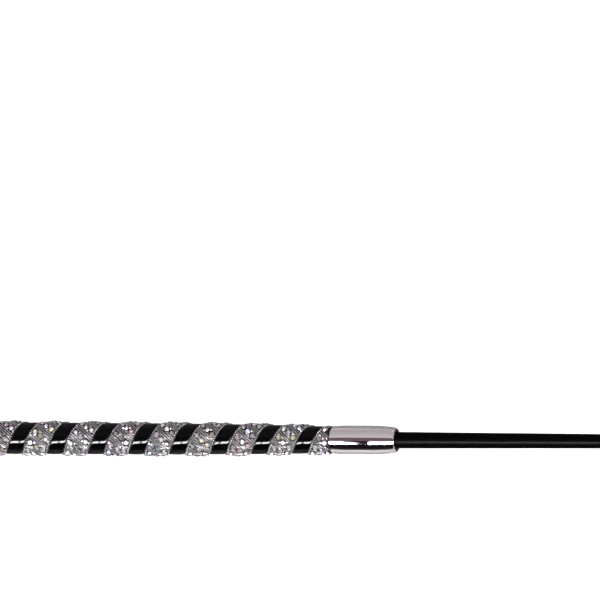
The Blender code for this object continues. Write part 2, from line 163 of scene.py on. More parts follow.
def makeStudio():
    scene = bpy.context.scene
    scene.view_settings.view_transform = "Standard"
    scene.view_settings.look = "Medium High Contrast"
    world = bpy.data.worlds.new("studio")
    scene.world = world
    world.use_nodes = True
    tree = world.node_tree
    tree.nodes.clear()
    heading = addNode(tree, "TexCoord").outputs["Generated"]
    part = addNode(tree, "SeparateXYZ", {0: heading})
    forward = mathNode(tree, "MULTIPLY", part.outputs["Y"], -1.0)
    # angle from straight up towards the front, -180 to 180 degrees, as 0 to 1
    lean = mathNode(tree, "ARCTAN2", forward, part.outputs["Z"])
    share = mathNode(tree, "MULTIPLY_ADD", lean, 1 / tau, 0.5)

    def at(degrees):
        return 0.5 + degrees / 360

    sky = ramp(tree, share, [(at(angle), colour) for angle, colour in studio["sky"]])
    lampLow = studio["lampMiddle"] - studio["lampHalf"]
    lampHigh = studio["lampMiddle"] + studio["lampHalf"]
    frameLow, frameHigh = studio["lampFrame"]
    fadeIn, fadeOut = studio["lampFade"]
    glow = 1 / studio["lamp"]  # the lamp's white frame
    core = ramp(tree, share, [(at(frameLow), 0.0), (at(frameHigh), glow), (at(lampLow - fadeIn), glow),
                              (at(lampLow), 1.0), (at(lampHigh), 1.0), (at(lampHigh + fadeOut), 0.0)])
    # how far along the whip the light comes from, -90 to 90 degrees, as 0 to 1
    sideways = mathNode(tree, "ARCSINE", part.outputs["X"])
    sideShare = mathNode(tree, "MULTIPLY_ADD", sideways, 1 / math.pi, 0.5)

    def aside(degrees):
        return 0.5 + degrees / 180

    gate = ramp(tree, sideShare, [(aside(angle), level) for angle, level in studio["gate"]])
    lamp = mathNode(tree, "MULTIPLY", mathNode(tree, "MULTIPLY", core, gate), studio["lamp"])
    total = addNode(tree, "VectorMath", {0: sky, 1: lamp}, operation="ADD").outputs[0]
    # reflections see the sky and the lamp, matt surfaces an even fill, the lens pale paper
    mirrored = addNode(tree, "Background", {"Color": total})
    fill = addNode(tree, "Background", {"Color": (*studio["fillColour"], 1), "Strength": studio["fill"]})
    paper = addNode(tree, "Background", {"Color": (*studio["backdrop"], 1)})
    path = addNode(tree, "LightPath")
    soft = addNode(tree, "MixShader", {0: path.outputs["Is Glossy Ray"], 1: fill.outputs[0],
                                       2: mirrored.outputs[0]})
    mix = addNode(tree, "MixShader", {0: path.outputs["Is Camera Ray"], 1: soft.outputs[0],
                                      2: paper.outputs[0]})
    out = addNode(tree, "OutputWorld", {"Surface": mix.outputs[0]})
    out.is_active_output = True

    bm = bmesh.new()
    bmesh.ops.create_grid(bm, x_segments=1, y_segments=1, size=studio["floorReach"])
    mesh = bpy.data.meshes.new("floor")
    bm.to_mesh(mesh)
    bm.free()
    floor = bpy.data.objects.new("floor", mesh)
    floor.location.z = -studio["floorDrop"]
    bpy.context.collection.objects.link(floor)
    paperMaterial, tree, shader = newMaterial("floorPaper", studio["floorColour"], studio["floorRoughness"])
    # pale to the lens, much darker to every other ray
    seen = addNode(tree, "LightPath").outputs["Is Camera Ray"]
    tree.links.new(mixColours(tree, seen, studio["floorShade"], studio["floorColour"]),
                   shader.inputs["Base Color"])
    mesh.materials.append(paperMaterial)


# materials
def newMaterial(name, colour, roughness, metallic=0.0, specular=0.5):
    material = bpy.data.materials.new(name)
    material.use_nodes = True
    tree = material.node_tree
    shader = tree.nodes["Principled BSDF"]
    shader.inputs["Base Color"].default_value = (*colour, 1)
    shader.inputs["Roughness"].default_value = roughness
    shader.inputs["Metallic"].default_value = metallic
    shader.inputs["Specular IOR Level"].default_value = specular
    return material, tree, shader


def bumpFrom(tree, shader, height, distance, strength):
    node = addNode(tree, "Bump", {"Height": height, "Distance": distance, "Strength": strength})
    tree.links.new(node.outputs["Normal"], shader.inputs["Normal"])


def noiseOn(tree, coordinates, scale, detail=3.0, stretch=None):
    if stretch:
        coordinates = addNode(tree, "Mapping", {"Vector": coordinates, "Scale": stretch}).outputs[0]
    node = addNode(tree, "TexNoise", {"Vector": coordinates, "Scale": scale, "Detail": detail})
    return node.outputs["Fac"]


def between(tree, factor, low, high):
    node = addNode(tree, "MapRange", {"Value": factor, "To Min": low, "To Max": high})
    return node.outputs["Result"]


def mixColours(tree, factor, first, second):
    node = addNode(tree, "Mix", {"Factor": factor, "A": (*first, 1), "B": (*second, 1)}, data_type="RGBA")
    return socketOf(node.outputs, "Result")


def uvOf(tree):
    return addNode(tree, "UVMap").outputs["UV"]


def polishedMetal(name, colour, roughest):
    material, tree, shader = newMaterial(name, colour, roughest, 1.0)
    place = addNode(tree, "TexCoord").outputs["Object"]
    cloud = noiseOn(tree, place, 240)
    tree.links.new(between(tree, cloud, roughest * 0.4, roughest), shader.inputs["Roughness"])
    hairlines = noiseOn(tree, uvOf(tree), 9, 4.0, (2.0, 14.0, 1.0))
    bumpFrom(tree, shader, hairlines, 0.0000002, 0.6)
    return material


def patentLeather():
    material, tree, shader = newMaterial("patentLeather", (0.001, 0.001, 0.0013), 0.05, specular=0.1)
    uv = uvOf(tree)
    grain = noiseOn(tree, uv, 1.1, 3.0)
    pull = noiseOn(tree, uv, 0.22, 1.0, (1.0, 0.5, 1.0))
    tree.links.new(between(tree, pull, 0.025, 0.07), shader.inputs["Roughness"])
    tree.links.new(mixColours(tree, grain, (0.0006, 0.0006, 0.001), (0.002, 0.0018, 0.0022)),
                   shader.inputs["Base Color"])
    bumpFrom(tree, shader, mathNode(tree, "ADD", grain, mathNode(tree, "MULTIPLY", pull, 3.0)), 0.00001, 0.6)
    return material


def coatedStone():
    material, tree, shader = newMaterial("coatedStone", (0.3, 0.3, 0.32), 0.15, 0.25, specular=0.35)
    tint = addNode(tree, "Attribute", attribute_name="tint").outputs["Color"]
    tree.links.new(tint, shader.inputs["Base Color"])
    place = addNode(tree, "TexCoord").outputs["Object"]
    tree.links.new(between(tree, noiseOn(tree, place, 900), 0.12, 0.26), shader.inputs["Roughness"])
    return material


def silverTrim(name, dark, light, roughness, metallic):
    material, tree, shader = newMaterial(name, light, roughness, metallic, specular=0.2)
    place = addNode(tree, "TexCoord").outputs["Object"]
    tarnish = noiseOn(tree, place, 700, 4.0)
    tree.links.new(mixColours(tree, between(tree, tarnish, -0.4, 1.4), dark, light),
                   shader.inputs["Base Color"])
    tree.links.new(between(tree, tarnish, roughness * 1.4, roughness * 0.6), shader.inputs["Roughness"])
    bumpFrom(tree, shader, noiseOn(tree, place, 2500), 0.00001, 0.5)
    return material


def wovenTape():
    material, tree, shader = newMaterial("wovenTape", (0.006, 0.006, 0.006), 0.5, specular=0.15)
    uv = uvOf(tree)
    weave = addNode(tree, "TexChecker", {"Vector": uv, "Scale": 3.2}).outputs["Fac"]
    tree.links.new(mixColours(tree, weave, (0.002, 0.002, 0.002), (0.012, 0.0115, 0.012)),
                   shader.inputs["Base Color"])
    bumpFrom(tree, shader, weave, 0.00005, 0.8)
    return material


def plainPlastic(name, colour, roughness, grainScale, grainDepth):
    material, tree, shader = newMaterial(name, colour, roughness)
    place = addNode(tree, "TexCoord").outputs["Object"]
    grain = noiseOn(tree, place, grainScale, 4.0)
    lighter = [channel * 1.8 + 0.001 for channel in colour]
    tree.links.new(mixColours(tree, grain, colour, lighter), shader.inputs["Base Color"])
    tree.links.new(between(tree, grain, roughness * 0.85, roughness * 1.15), shader.inputs["Roughness"])
    bumpFrom(tree, shader, grain, grainDepth, 0.6)
    return material


def glassFibre():
    material, tree, shader = newMaterial("glassFibre", (0.5, 0.47, 0.35), 0.35)
    place = addNode(tree, "TexCoord").outputs["Object"]
    streaks = noiseOn(tree, place, 900, 3.0, (0.02, 1.0, 1.0))
    tree.links.new(mixColours(tree, streaks, (0.36, 0.33, 0.22), (0.62, 0.6, 0.47)),
                   shader.inputs["Base Color"])
    bumpFrom(tree, shader, streaks, 0.00002, 0.5)
    return material


def braidHeight(tree, uv, carriers, repeat):
    # two sets of strands cross over and under; u counts turns, v counts millimetres
    part = addNode(tree, "SeparateXYZ", {0: uv})
    around = mathNode(tree, "MULTIPLY", part.outputs["X"], float(carriers))
    onward = mathNode(tree, "DIVIDE", part.outputs["Y"], repeat)
    rising = mathNode(tree, "ADD", around, onward)
    falling = mathNode(tree, "SUBTRACT", around, onward)
    arches = []
    for strand in (rising, falling):
        inside = mathNode(tree, "FRACT", strand)
        arches.append(mathNode(tree, "SINE", mathNode(tree, "MULTIPLY", inside, math.pi)))
    cells = mathNode(tree, "ADD", mathNode(tree, "FLOOR", rising), mathNode(tree, "FLOOR", falling))
    over = mathNode(tree, "FLOORED_MODULO", cells, 2.0)
    under = mathNode(tree, "SUBTRACT", 1.0, over)
    upper = mathNode(tree, "MULTIPLY", arches[0], over)
    lower = mathNode(tree, "MULTIPLY", arches[1], under)
    return mathNode(tree, "ADD", upper, lower)


def braidedNylon(name, dark, light, roughness, carriers, repeat, depth):
    material, tree, shader = newMaterial(name, dark, roughness, specular=0.018)
    uv = uvOf(tree)
    height = braidHeight(tree, uv, carriers, repeat)
    fibres = noiseOn(tree, uv, 6, 3.0, (14.0, 0.6, 1.0))
    # painted shade: the base colour is darker in the grooves between strands and lighter on the raised
    # strands, multiplied by the fibres' own random tone
    grooveShadeAndFibreTone = mathNode(tree, "MULTIPLY", height, fibres)
    tree.links.new(mixColours(tree, grooveShadeAndFibreTone, dark, light), shader.inputs["Base Color"])
    tree.links.new(between(tree, fibres, roughness * 0.8, roughness * 1.25), shader.inputs["Roughness"])
    bumpFrom(tree, shader, mathNode(tree, "MULTIPLY_ADD", fibres, 0.4, height), depth, 0.9)
    return material


def waxedThread():
    material, tree, shader = newMaterial("waxedThread", (0.003, 0.003, 0.003), 0.48, specular=0.03)
    place = addNode(tree, "TexCoord").outputs["Object"]
    fuzz = noiseOn(tree, place, 2600, 4.0)
    tree.links.new(mixColours(tree, fuzz, (0.001, 0.001, 0.001), (0.005, 0.0047, 0.005)),
                   shader.inputs["Base Color"])
    bumpFrom(tree, shader, fuzz, 0.00003, 0.8)
    return material


chrome = polishedMetal("polishedChrome", (0.6, 0.57, 0.585), 0.02)
patent = patentLeather()
stoneCoat = coatedStone()
setting = silverTrim("stoneSetting", (0.004, 0.004, 0.004), (0.05, 0.047, 0.05), 0.2, 0.6)
ribSilver = silverTrim("ribSilver", (0.05, 0.047, 0.05), (0.27, 0.255, 0.262), 0.26, 0.2)
tape = wovenTape()
rubber = plainPlastic("bushRubber", (0.002, 0.002, 0.0022), 0.5, 1500, 0.00002)
corePlastic = plainPlastic("corePlastic", (0.02, 0.02, 0.021), 0.45, 500, 0.00003)
fibre = glassFibre()
shaftNylon = braidedNylon("shaftNylon", (0.0006, 0.0005, 0.0006), (0.0028, 0.0024, 0.0028), 0.3,
                          carriers=12, repeat=1.9, depth=0.00002)
lashNylon = braidedNylon("lashNylon", (0.001, 0.001, 0.001), (0.005, 0.005, 0.005), 0.5,
                         carriers=4, repeat=2.6, depth=0.00003)
thread = waxedThread()
print("materials made")


# making pieces
def addPiece(name, bm, material, body, replaced=(), sharp=40):
    mesh = bpy.data.meshes.new(name)
    bm.to_mesh(mesh)
    bm.free()
    mesh.materials.append(material)
    mesh.shade_smooth()
    mesh.set_sharp_from_angle(angle=math.radians(sharp))
    piece = bpy.data.objects.new(name, mesh)
    bpy.context.collection.objects.link(piece)
    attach(piece, body)
    if replaced:
        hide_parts(*replaced)
    return piece


def wrapUv(bm):
    # u counts turns round the whip, v counts millimetres along it
    layer = bm.loops.layers.uv.new("wrap")
    for face in bm.faces:
        middle = face.calc_center_median()
        home = math.atan2(middle.y, middle.z)
        for loop in face.loops:
            place = loop.vert.co
            angle = math.atan2(place.y, place.z)
            angle += tau * round((home - angle) / tau)
            loop[layer].uv = (angle / tau, place.x / mm)


def turned(outline, steps):
    # the outline of (x, radius) starts and ends on the axis, or closes on itself
    bm = bmesh.new()
    points = [bm.verts.new((x, 0, radius)) for x, radius in outline]
    edges = [bm.edges.new(pair) for pair in zip(points, points[1:])]
    if outline[0][1] > 0:
        edges.append(bm.edges.new((points[-1], points[0])))
    bmesh.ops.spin(bm, geom=points + edges, cent=(0, 0, 0), axis=(1, 0, 0), dvec=(0, 0, 0),
                   angle=tau, steps=steps, use_merge=True, use_duplicate=False)
    bmesh.ops.remove_doubles(bm, verts=bm.verts, dist=1e-7)
    bmesh.ops.recalc_face_normals(bm, faces=bm.faces)
    wrapUv(bm)
    return bm


def arc(middle, radii, start, end, count):
    # points of an ellipse in (x, radius), angles in degrees from +x towards +radius
    return [(middle[0] + radii[0] * math.cos(math.radians(angle)),
             middle[1] + radii[1] * math.sin(math.radians(angle))) for angle in spread(start, end, count)]


# grip: a patent strip and a stone set strip wound side by side, left-handed
grip = dict(buttRadius=7.25 * mm, bellyRadius=7.1 * mm, neckRadius=6.0 * mm, neckTaper=90 * mm,
            length=175 * mm, pitch=19.3 * mm, patentWidth=6.8 * mm, patentThickness=1.0 * mm,
            patentCrown=0.08 * mm, patentPull=0.05, gap=0.3 * mm, lastTurnGap=11.0 * mm, edge=0.35 * mm,
            tapeThickness=0.9 * mm, tapeCrown=0.3 * mm, tapeEdge=0.3 * mm, steps=72)
gripStart = -grip["length"]
patentTop = -grip["lastTurnGap"]
crystalWidth = grip["pitch"] - grip["patentWidth"] - 2 * grip["gap"]
crystalTop = patentTop + grip["pitch"] / 2
coreDrop = grip["patentThickness"] + grip["gap"]


def gripRadius(x):
    fromFerrule = max(-x, 0)
    if fromFerrule < grip["neckTaper"]:
        rest = 1 - fromFerrule / grip["neckTaper"]
        return grip["bellyRadius"] - (grip["bellyRadius"] - grip["neckRadius"]) * rest ** 2
    share = (fromFerrule - grip["neckTaper"]) / (grip["length"] - grip["neckTaper"])
    return grip["bellyRadius"] + (grip["buttRadius"] - grip["bellyRadius"]) * share


def windStrip(top, section):
    # section is a closed outline of (x from the strip's middle, height over the core)
    flat = grip["bellyRadius"]
    half = max(x for x, height in section)
    first = (gripStart - half - top) / grip["pitch"]
    last = (half - top) / grip["pitch"]
    steps = round((last - first) * grip["steps"])
    bm = bmesh.new()
    points = [bm.verts.new((top + first * grip["pitch"] + x, 0, flat + height)) for x, height in section]
    edges = [bm.edges.new(pair) for pair in zip(points, points[1:] + points[:1])]
    bmesh.ops.rotate(bm, verts=points, cent=(0, 0, 0), matrix=Matrix.Rotation(-tau * first, 3, "X"))
    turns = last - first
    bmesh.ops.spin(bm, geom=points + edges, cent=(0, 0, 0), axis=(-1, 0, 0),
                   dvec=(turns * grip["pitch"] / steps, 0, 0), angle=tau * turns, steps=steps,
                   use_merge=False, use_duplicate=False)
    layer = bm.loops.layers.uv.new("wrap")
    for vert in bm.verts:
        radius = math.hypot(vert.co.y, vert.co.z)
        wanted = gripRadius(vert.co.x) - coreDrop + grip["gap"] + radius - flat
        vert.co.y *= wanted / radius
        vert.co.z *= wanted / radius
    for place, outward in ((gripStart + grip["gap"], -1), (-grip["gap"], 1)):
        bmesh.ops.bisect_plane(bm, geom=bm.verts[:] + bm.edges[:] + bm.faces[:], dist=1e-7,
                               plane_co=(place, 0, 0), plane_no=(outward, 0, 0), clear_outer=True)
    openEdges = [edge for edge in bm.edges if edge.is_boundary]
    bmesh.ops.holes_fill(bm, edges=openEdges, sides=0)
    bmesh.ops.recalc_face_normals(bm, faces=bm.faces)
    for face in bm.faces:
        middle = face.calc_center_median()
        turn = (middle.x - top) / grip["pitch"]
        for loop in face.loops:
            place = loop.vert.co
            angle = math.atan2(place.y, place.z) / tau
            angle += round(turn - angle)
            across = place.x - top - angle * grip["pitch"]
            loop[layer].uv = (across / mm, angle * tau * grip["bellyRadius"] / mm)
    return bm


def stripSection(width, thickness, edge, crown):
    # flat underneath, rounded edges and a slightly crowned top
    half = width / 2
    left = arc((-half + edge, thickness - edge), (edge, edge), 180, 90, 4)
    right = arc((half - edge, thickness - edge), (edge, edge), 90, 0, 4)
    top = [(x, thickness + crown * (1 - (x / (half - edge)) ** 2))
           for x in spread(-half + edge, half - edge, 8)[1:-1]]
    return [(half, 0), (-half, 0)] + left + top + right


def makePatentStrip():
    crown = grip["patentCrown"]
    section = stripSection(grip["patentWidth"], grip["patentThickness"] - crown, grip["edge"], crown)
    bm = windStrip(patentTop, section)
    for vert in bm.verts:  # the strip pulls a little unevenly as it is wound
        outward = Vector((0, vert.co.y, vert.co.z)).normalized()
        vert.co += outward * grip["patentPull"] * mm * noise.noise(vert.co * 160)
    bm.transform(whipPlace)
    addPiece("patentStrip", bm, patent, "whip", ["patent_strip"])


def makeCrystalTape():
    section = stripSection(crystalWidth, grip["tapeThickness"], grip["tapeEdge"], grip["tapeCrown"])
    bm = windStrip(crystalTop, section)
    bm.transform(whipPlace)
    addPiece("crystalTape", bm, tape, "whip", ["crystal_strip"])


# trim on the crystal strip: stones in settings, ribs between the rows, beads along both edges
trim = dict(rowSpacing=5.35 * mm, skew=0.27, stoneRadius=1.3 * mm, stoneTone=0.33, stoneSpacing=3.1 * mm,
            smallRadius=0.6 * mm, ribSpacing=0.95 * mm, ribRadius=0.2 * mm, ribHalf=4.6 * mm,
            beadSpacing=1.15 * mm, beadRadius=0.42 * mm, beadAcross=4.95 * mm, stoneRange=(0.86, 1.06),
            smallRange=(0.75, 1.0), beadRange=(0.92, 1.06), stoneHeight=1.1,
            stoneBrightness=(0.55, 1.35), smallBrightness=(0.6, 1.2), settingTurn=0.8)
stoneTints = [((0.74, 0.73, 0.78), 14), ((0.9, 0.66, 0.74), 4), ((0.7, 0.72, 0.92), 4),
              ((0.92, 0.84, 0.64), 3), ((0.66, 0.85, 0.8), 2), ((0.85, 0.82, 0.8), 9),
              ((0.8, 0.66, 0.84), 2)]
tintChoices = [colour for colour, count in stoneTints for copy in range(count)]


def onStrip(turns, local):
    # local is (across the strip, along it, up from the tape's underside)
    middle = crystalTop + turns * grip["pitch"]
    radius = gripRadius(middle)
    slope = math.atan2(grip["pitch"], tau * radius)
    turns += local.y * math.cos(slope) / (tau * radius)
    x = crystalTop + turns * grip["pitch"] + local.x * math.cos(slope)
    angle = tau * turns - local.x * math.sin(slope) / radius
    domed = grip["tapeCrown"] * (1 - (2 * local.x / crystalWidth) ** 2)
    reach = gripRadius(x) - coreDrop + grip["gap"] + domed + local.z
    return Vector((x, reach * math.sin(angle), reach * math.cos(angle)))


def withinGrip(turns, across, margin):
    x = onStrip(turns, Vector((across, -trim["skew"] * across, 0))).x
    return gripStart + grip["gap"] + margin < x < -grip["gap"] - margin


def stoneShape():
    bm = bmesh.new()
    bmesh.ops.create_cone(bm, cap_ends=True, cap_tris=False, segments=8, radius1=1.0, radius2=0.56,
                          depth=0.5)
    slanted = [edge for edge in bm.edges if abs(edge.verts[0].co.z - edge.verts[1].co.z) > 0.1]
    bmesh.ops.bevel(bm, geom=slanted, offset=0.14, affect="EDGES", segments=1, profile=0.5, material=-1)
    return bm


def domeShape(rings, segments):
    bm = bmesh.new()
    bmesh.ops.create_uvsphere(bm, u_segments=segments, v_segments=rings, radius=1.0)
    return bm


def settingShape():
    bm = bmesh.new()
    bmesh.ops.create_circle(bm, segments=6, radius=0.16, cap_ends=False)
    bmesh.ops.rotate(bm, verts=bm.verts, cent=(0, 0, 0), matrix=Matrix.Rotation(tau / 4, 3, "X"))
    bmesh.ops.translate(bm, verts=bm.verts, vec=(1.1, 0, 0))
    bmesh.ops.spin(bm, geom=bm.verts[:] + bm.edges[:], cent=(0, 0, 0), axis=(0, 0, 1), dvec=(0, 0, 0),
                   angle=tau, steps=14, use_merge=True, use_duplicate=False)
    for quarter in range(4):
        claw = domeShape(4, 6)
        bmesh.ops.scale(claw, verts=claw.verts, vec=(0.2, 0.2, 0.24))
        where = Matrix.Rotation(tau * (quarter + 0.5) / 4, 4, "Z") @ Matrix.Translation((0.98, 0, 0.12))
        claw.transform(where)
        addCopy(bm, claw, Matrix.Identity(4))
        claw.free()
    bmesh.ops.recalc_face_normals(bm, faces=bm.faces)
    return bm


def addCopy(bm, shape, placed):
    # copies a shape's vertices and faces into bm and returns the new vertices and faces
    verts = [bm.verts.new(placed @ vert.co) for vert in shape.verts]
    shape.verts.index_update()
    faces = [bm.faces.new([verts[vert.index] for vert in face.verts]) for face in shape.faces]
    return verts, faces


def layOut(bm, shape, turns, across, alongStrip, height, size, spin=0.0):
    placed = (Matrix.Translation((across, alongStrip - trim["skew"] * across, height))
              @ Matrix.Rotation(spin, 4, "Z") @ Matrix.Diagonal((*size, 1)))
    verts, faces = addCopy(bm, shape, placed)
    for vert in verts:
        vert.co = onStrip(turns, vert.co)
    return faces


def paintFacets(faces, layer, colour, brightness):
    for face in faces:
        lift = random.uniform(0.6, 1.15)
        shift = [random.uniform(-0.12, 0.12) for channel in range(3)]
        painted = [min(max(channel * lift + drift, 0.03), 1.0) * trim["stoneTone"] * brightness
                   for channel, drift in zip(colour, shift)]
        for loop in face.loops:
            loop[layer] = (*painted, 1)


def makeTrim():
    stones, settings, ribs, beads = (bmesh.new() for part in range(4))
    tint = stones.loops.layers.float_color.new("tint")
    stone, bezel, bead = stoneShape(), settingShape(), domeShape(5, 8)
    bar = bmesh.new()
    bmesh.ops.create_cone(bar, cap_ends=True, segments=8, radius1=1.0, radius2=1.0, depth=2.0)
    bmesh.ops.rotate(bar, verts=bar.verts, cent=(0, 0, 0), matrix=Matrix.Rotation(tau / 4, 3, "Y"))
    lengthwise = [edge for edge in bar.edges if abs(edge.verts[0].co.x - edge.verts[1].co.x) > 1]
    bmesh.ops.subdivide_edges(bar, edges=lengthwise, cuts=5)

    top = grip["tapeThickness"]
    turnLength = math.hypot(grip["pitch"], tau * grip["bellyRadius"])
    firstTurn = (gripStart - crystalTop - crystalWidth) / grip["pitch"]
    lastTurn = (crystalWidth - crystalTop) / grip["pitch"]
    rows = int((lastTurn - firstTurn) * turnLength / trim["rowSpacing"])
    for row in range(rows):
        turns = firstTurn + row * trim["rowSpacing"] / turnLength
        for column in (-1, 0, 1):
            across = column * trim["stoneSpacing"]
            radius = trim["stoneRadius"] * random.uniform(*trim["stoneRange"])
            if not withinGrip(turns, across, radius * 1.05):
                radius = trim["smallRadius"]
            if not withinGrip(turns, across, radius * 1.05):
                continue
            drift = random.uniform(-0.25, 0.25) * mm
            size = (radius, radius, radius * trim["stoneHeight"])
            faces = layOut(stones, stone, turns, across, drift, top + radius * 0.32, size,
                           random.uniform(0, tau))
            paintFacets(faces, tint, random.choice(tintChoices), random.uniform(*trim["stoneBrightness"]))
            layOut(settings, bezel, turns, across, drift, top + radius * 0.12, size,
                   random.uniform(0, trim["settingTurn"]))
        # small stones fill the corners between the large ones
        for column in (-1.5, -0.5, 0.5, 1.5):
            for side in (-1, 1):
                across = column * trim["stoneSpacing"] * 0.93
                radius = trim["smallRadius"] * random.uniform(*trim["smallRange"])
                if abs(column) > 1 and side > 0 or not withinGrip(turns, across, radius * 1.8):
                    continue
                shift = side * trim["stoneRadius"] * 0.8 * (abs(column) < 1)
                faces = layOut(stones, stone, turns, across, shift, top + radius * 0.3,
                               (radius, radius, radius * trim["stoneHeight"]), random.uniform(0, tau))
                paintFacets(faces, tint, random.choice(tintChoices),
                            random.uniform(*trim["smallBrightness"]))
        halfway = turns + trim["rowSpacing"] / 2 / turnLength
        for rib in (-1, 0, 1):
            free = [across for across in spread(-trim["ribHalf"], trim["ribHalf"], 16)
                    if withinGrip(halfway, across, trim["ribRadius"])]
            if len(free) > 3:
                layOut(ribs, bar, halfway, (free[0] + free[-1]) / 2, rib * trim["ribSpacing"],
                       top + trim["ribRadius"] * 0.55,
                       ((free[-1] - free[0]) / 2, trim["ribRadius"], trim["ribRadius"]),
                       -math.atan(trim["skew"]))
    count = int((lastTurn - firstTurn) * turnLength / trim["beadSpacing"])
    for step in range(count):
        turns = firstTurn + step * trim["beadSpacing"] / turnLength
        for side in (-1, 1):
            across = side * trim["beadAcross"]
            if withinGrip(turns, across, trim["beadRadius"]):
                radius = trim["beadRadius"] * random.uniform(*trim["beadRange"])
                layOut(beads, bead, turns, across, 0, top + radius * 0.25, (radius, radius, radius))
    made = (("crystalStones", stones, stoneCoat, 5), ("stoneSettings", settings, setting, 40),
            ("crystalRibs", ribs, ribSilver, 40), ("edgeBeads", beads, ribSilver, 60))
    for name, bm, material, sharp in made:
        bmesh.ops.recalc_face_normals(bm, faces=bm.faces)
        bm.transform(whipPlace)
        addPiece(name, bm, material, "whip", sharp=sharp)
    for shape in (stone, bezel, bead, bar):
        shape.free()


# ferrule and its bush
ferrule = dict(radius=6.5 * mm, rimStep=0.35 * mm, rimLength=7.0 * mm, noseLength=12.7 * mm, nosePower=2.2,
               mouthRoom=0.6 * mm, wall=0.45 * mm, lip=0.22 * mm, steps=128)


def makeFerrule():
    length = ferruleLength
    mouth = acrossHalf("ferrule_bush") + ferrule["mouthRoom"]
    body = ferrule["radius"]
    noseStart = length - ferrule["noseLength"]
    lip = ferrule["lip"]

    def noseRadius(x, inset):
        share = min((x - noseStart) / ferrule["noseLength"], 1)
        swell = (1 - share ** ferrule["nosePower"]) ** (1 / ferrule["nosePower"])
        return mouth - inset + (body - mouth) * swell

    outline = arc((lip, body - ferrule["rimStep"] - lip), (lip, lip), 180, 90, 5)
    for x in spread(lip, ferrule["rimLength"], 10)[1:]:
        outline.append((x, body - ferrule["rimStep"] * (1 - x / ferrule["rimLength"]) ** 2))
    nose = [noseStart + ferrule["noseLength"] * math.sin(angle) for angle in spread(0, tau / 4, 26)]
    outline += [(x, noseRadius(x, 0)) for x in nose[:-1]]
    outline += arc((length - lip, mouth - lip), (lip, lip), 70, -90, 8)
    outline += [(x, noseRadius(x, ferrule["wall"])) for x in reversed(nose[:-2])]
    outline.append((lip, body - ferrule["rimStep"] - ferrule["wall"]))
    bm = turned(outline, ferrule["steps"])
    bm.transform(whipPlace)
    addPiece("ferruleShell", bm, chrome, "whip", ["ferrule"], sharp=60)


bush = dict(wall=0.45 * mm, edge=0.16 * mm, recess=0.1 * mm, steps=64)


def makeBush():
    start, end = startOf("ferrule_bush"), ferruleLength - bush["recess"]
    outer = acrossHalf("ferrule_bush")
    bore = outer - bush["wall"]
    edge = bush["edge"]
    outline = [(start, bore), (start, outer)] + arc((end - edge, outer - edge), (edge, edge), 90, 0, 5)
    outline += arc((end - edge, bore + edge), (edge, edge), 0, -90, 5)
    bm = turned(outline, bush["steps"])
    bm.transform(whipPlace)
    addPiece("mouthBush", bm, rubber, "whip", ["ferrule_bush"], sharp=60)


# end cap: a domed head over a short skirt with two turned grooves
cap = dict(length=19 * mm, faceRadius=4.0 * mm, skirtRadius=8.5 * mm, headLength=12 * mm, wall=0.7 * mm,
           groove=0.45 * mm, grooves=(1.3 * mm, 4.9 * mm), crownShare=0.55, edge=0.3 * mm, steps=96)


def makeEndCap():
    butt = gripStart - cap["length"]
    head = acrossHalf("end_cap")
    crown = cap["headLength"] * cap["crownShare"]
    face, skirt, wall, groove = cap["faceRadius"], cap["skirtRadius"], cap["wall"], cap["groove"]
    outline = [(butt, 0), (butt, face * 0.5), (butt, face - 0.1 * mm)]
    outline += arc((butt + crown, face), (crown, head - face), 180, 90, 20)[1:]
    outline += arc((butt + crown, skirt), (cap["headLength"] - crown, head - skirt), 90, 0, 10)[1:]
    neck = butt + cap["headLength"]
    for along in cap["grooves"]:
        outline += arc((neck + along, skirt), (groove, groove * 0.7), 180, 360, 8)
    edge = cap["edge"]
    outline += arc((gripStart - edge, skirt - edge), (edge, edge), 90, 0, 4)
    outline += [(gripStart, skirt - wall), (neck, skirt - wall)]
    outline += arc((butt + crown, face), (crown - wall, head - wall - face), 90, 180, 8)
    outline.append((butt + wall, 0))
    bm = turned(outline, cap["steps"])
    bm.transform(whipPlace)
    addPiece("endCap", bm, chrome, "whip", ["end_cap"], sharp=50)


# shaft: braided sleeve over a tapered rod
shaft = dict(rootRadius=3.74 * mm, tipRadius=1.98 * mm, taperLength=565 * mm, taperPower=1.73,
             wall=0.4 * mm, wobble=0.035 * mm, steps=48, ringSpacing=1.6 * mm,
             squeezedRadius=1.85 * mm, squeezeLength=4 * mm, endGap=0.4 * mm)


def shaftRadius(x):
    rest = 1 - (x - ferruleLength) / shaft["taperLength"]
    if rest <= 0:
        return shaft["tipRadius"]
    swell = (shaft["rootRadius"] - shaft["tipRadius"]) * min(rest, 1) ** shaft["taperPower"]
    return shaft["tipRadius"] + swell


def makeShaftBraid():
    start = startOf("shaft_braid")
    whippingStart = startOf("tip_whipping")
    end = startOf("lash_root") - shaft["endGap"]
    squeezed = shaft["squeezedRadius"]
    squeezeStart = whippingStart - shaft["squeezeLength"]
    rings = round((whippingStart - start) / shaft["ringSpacing"])
    outline = [(x, shaftRadius(x)) for x in spread(start, squeezeStart, rings)]
    outline += [(whippingStart, squeezed), (end, squeezed)]
    outline += [(end, squeezed - shaft["wall"]), (whippingStart, squeezed - shaft["wall"])]
    for x in spread(squeezeStart, start, 12):
        outline.append((x, shaftRadius(x) - shaft["wall"]))
    bm = turned(outline, shaft["steps"])
    for vert in bm.verts:  # woven sleeve under its coat, never quite even
        outward = Vector((0, vert.co.y, vert.co.z))
        if outward.length > shaftRadius(vert.co.x) - shaft["wall"] / 2:
            lumps = noise.noise(Vector((vert.co.x * 120, vert.co.y * 260, vert.co.z * 260)))
            vert.co += outward.normalized() * shaft["wobble"] * lumps
    bm.transform(whipPlace)
    addPiece("shaftSleeve", bm, shaftNylon, "whip", ["shaft_braid"])


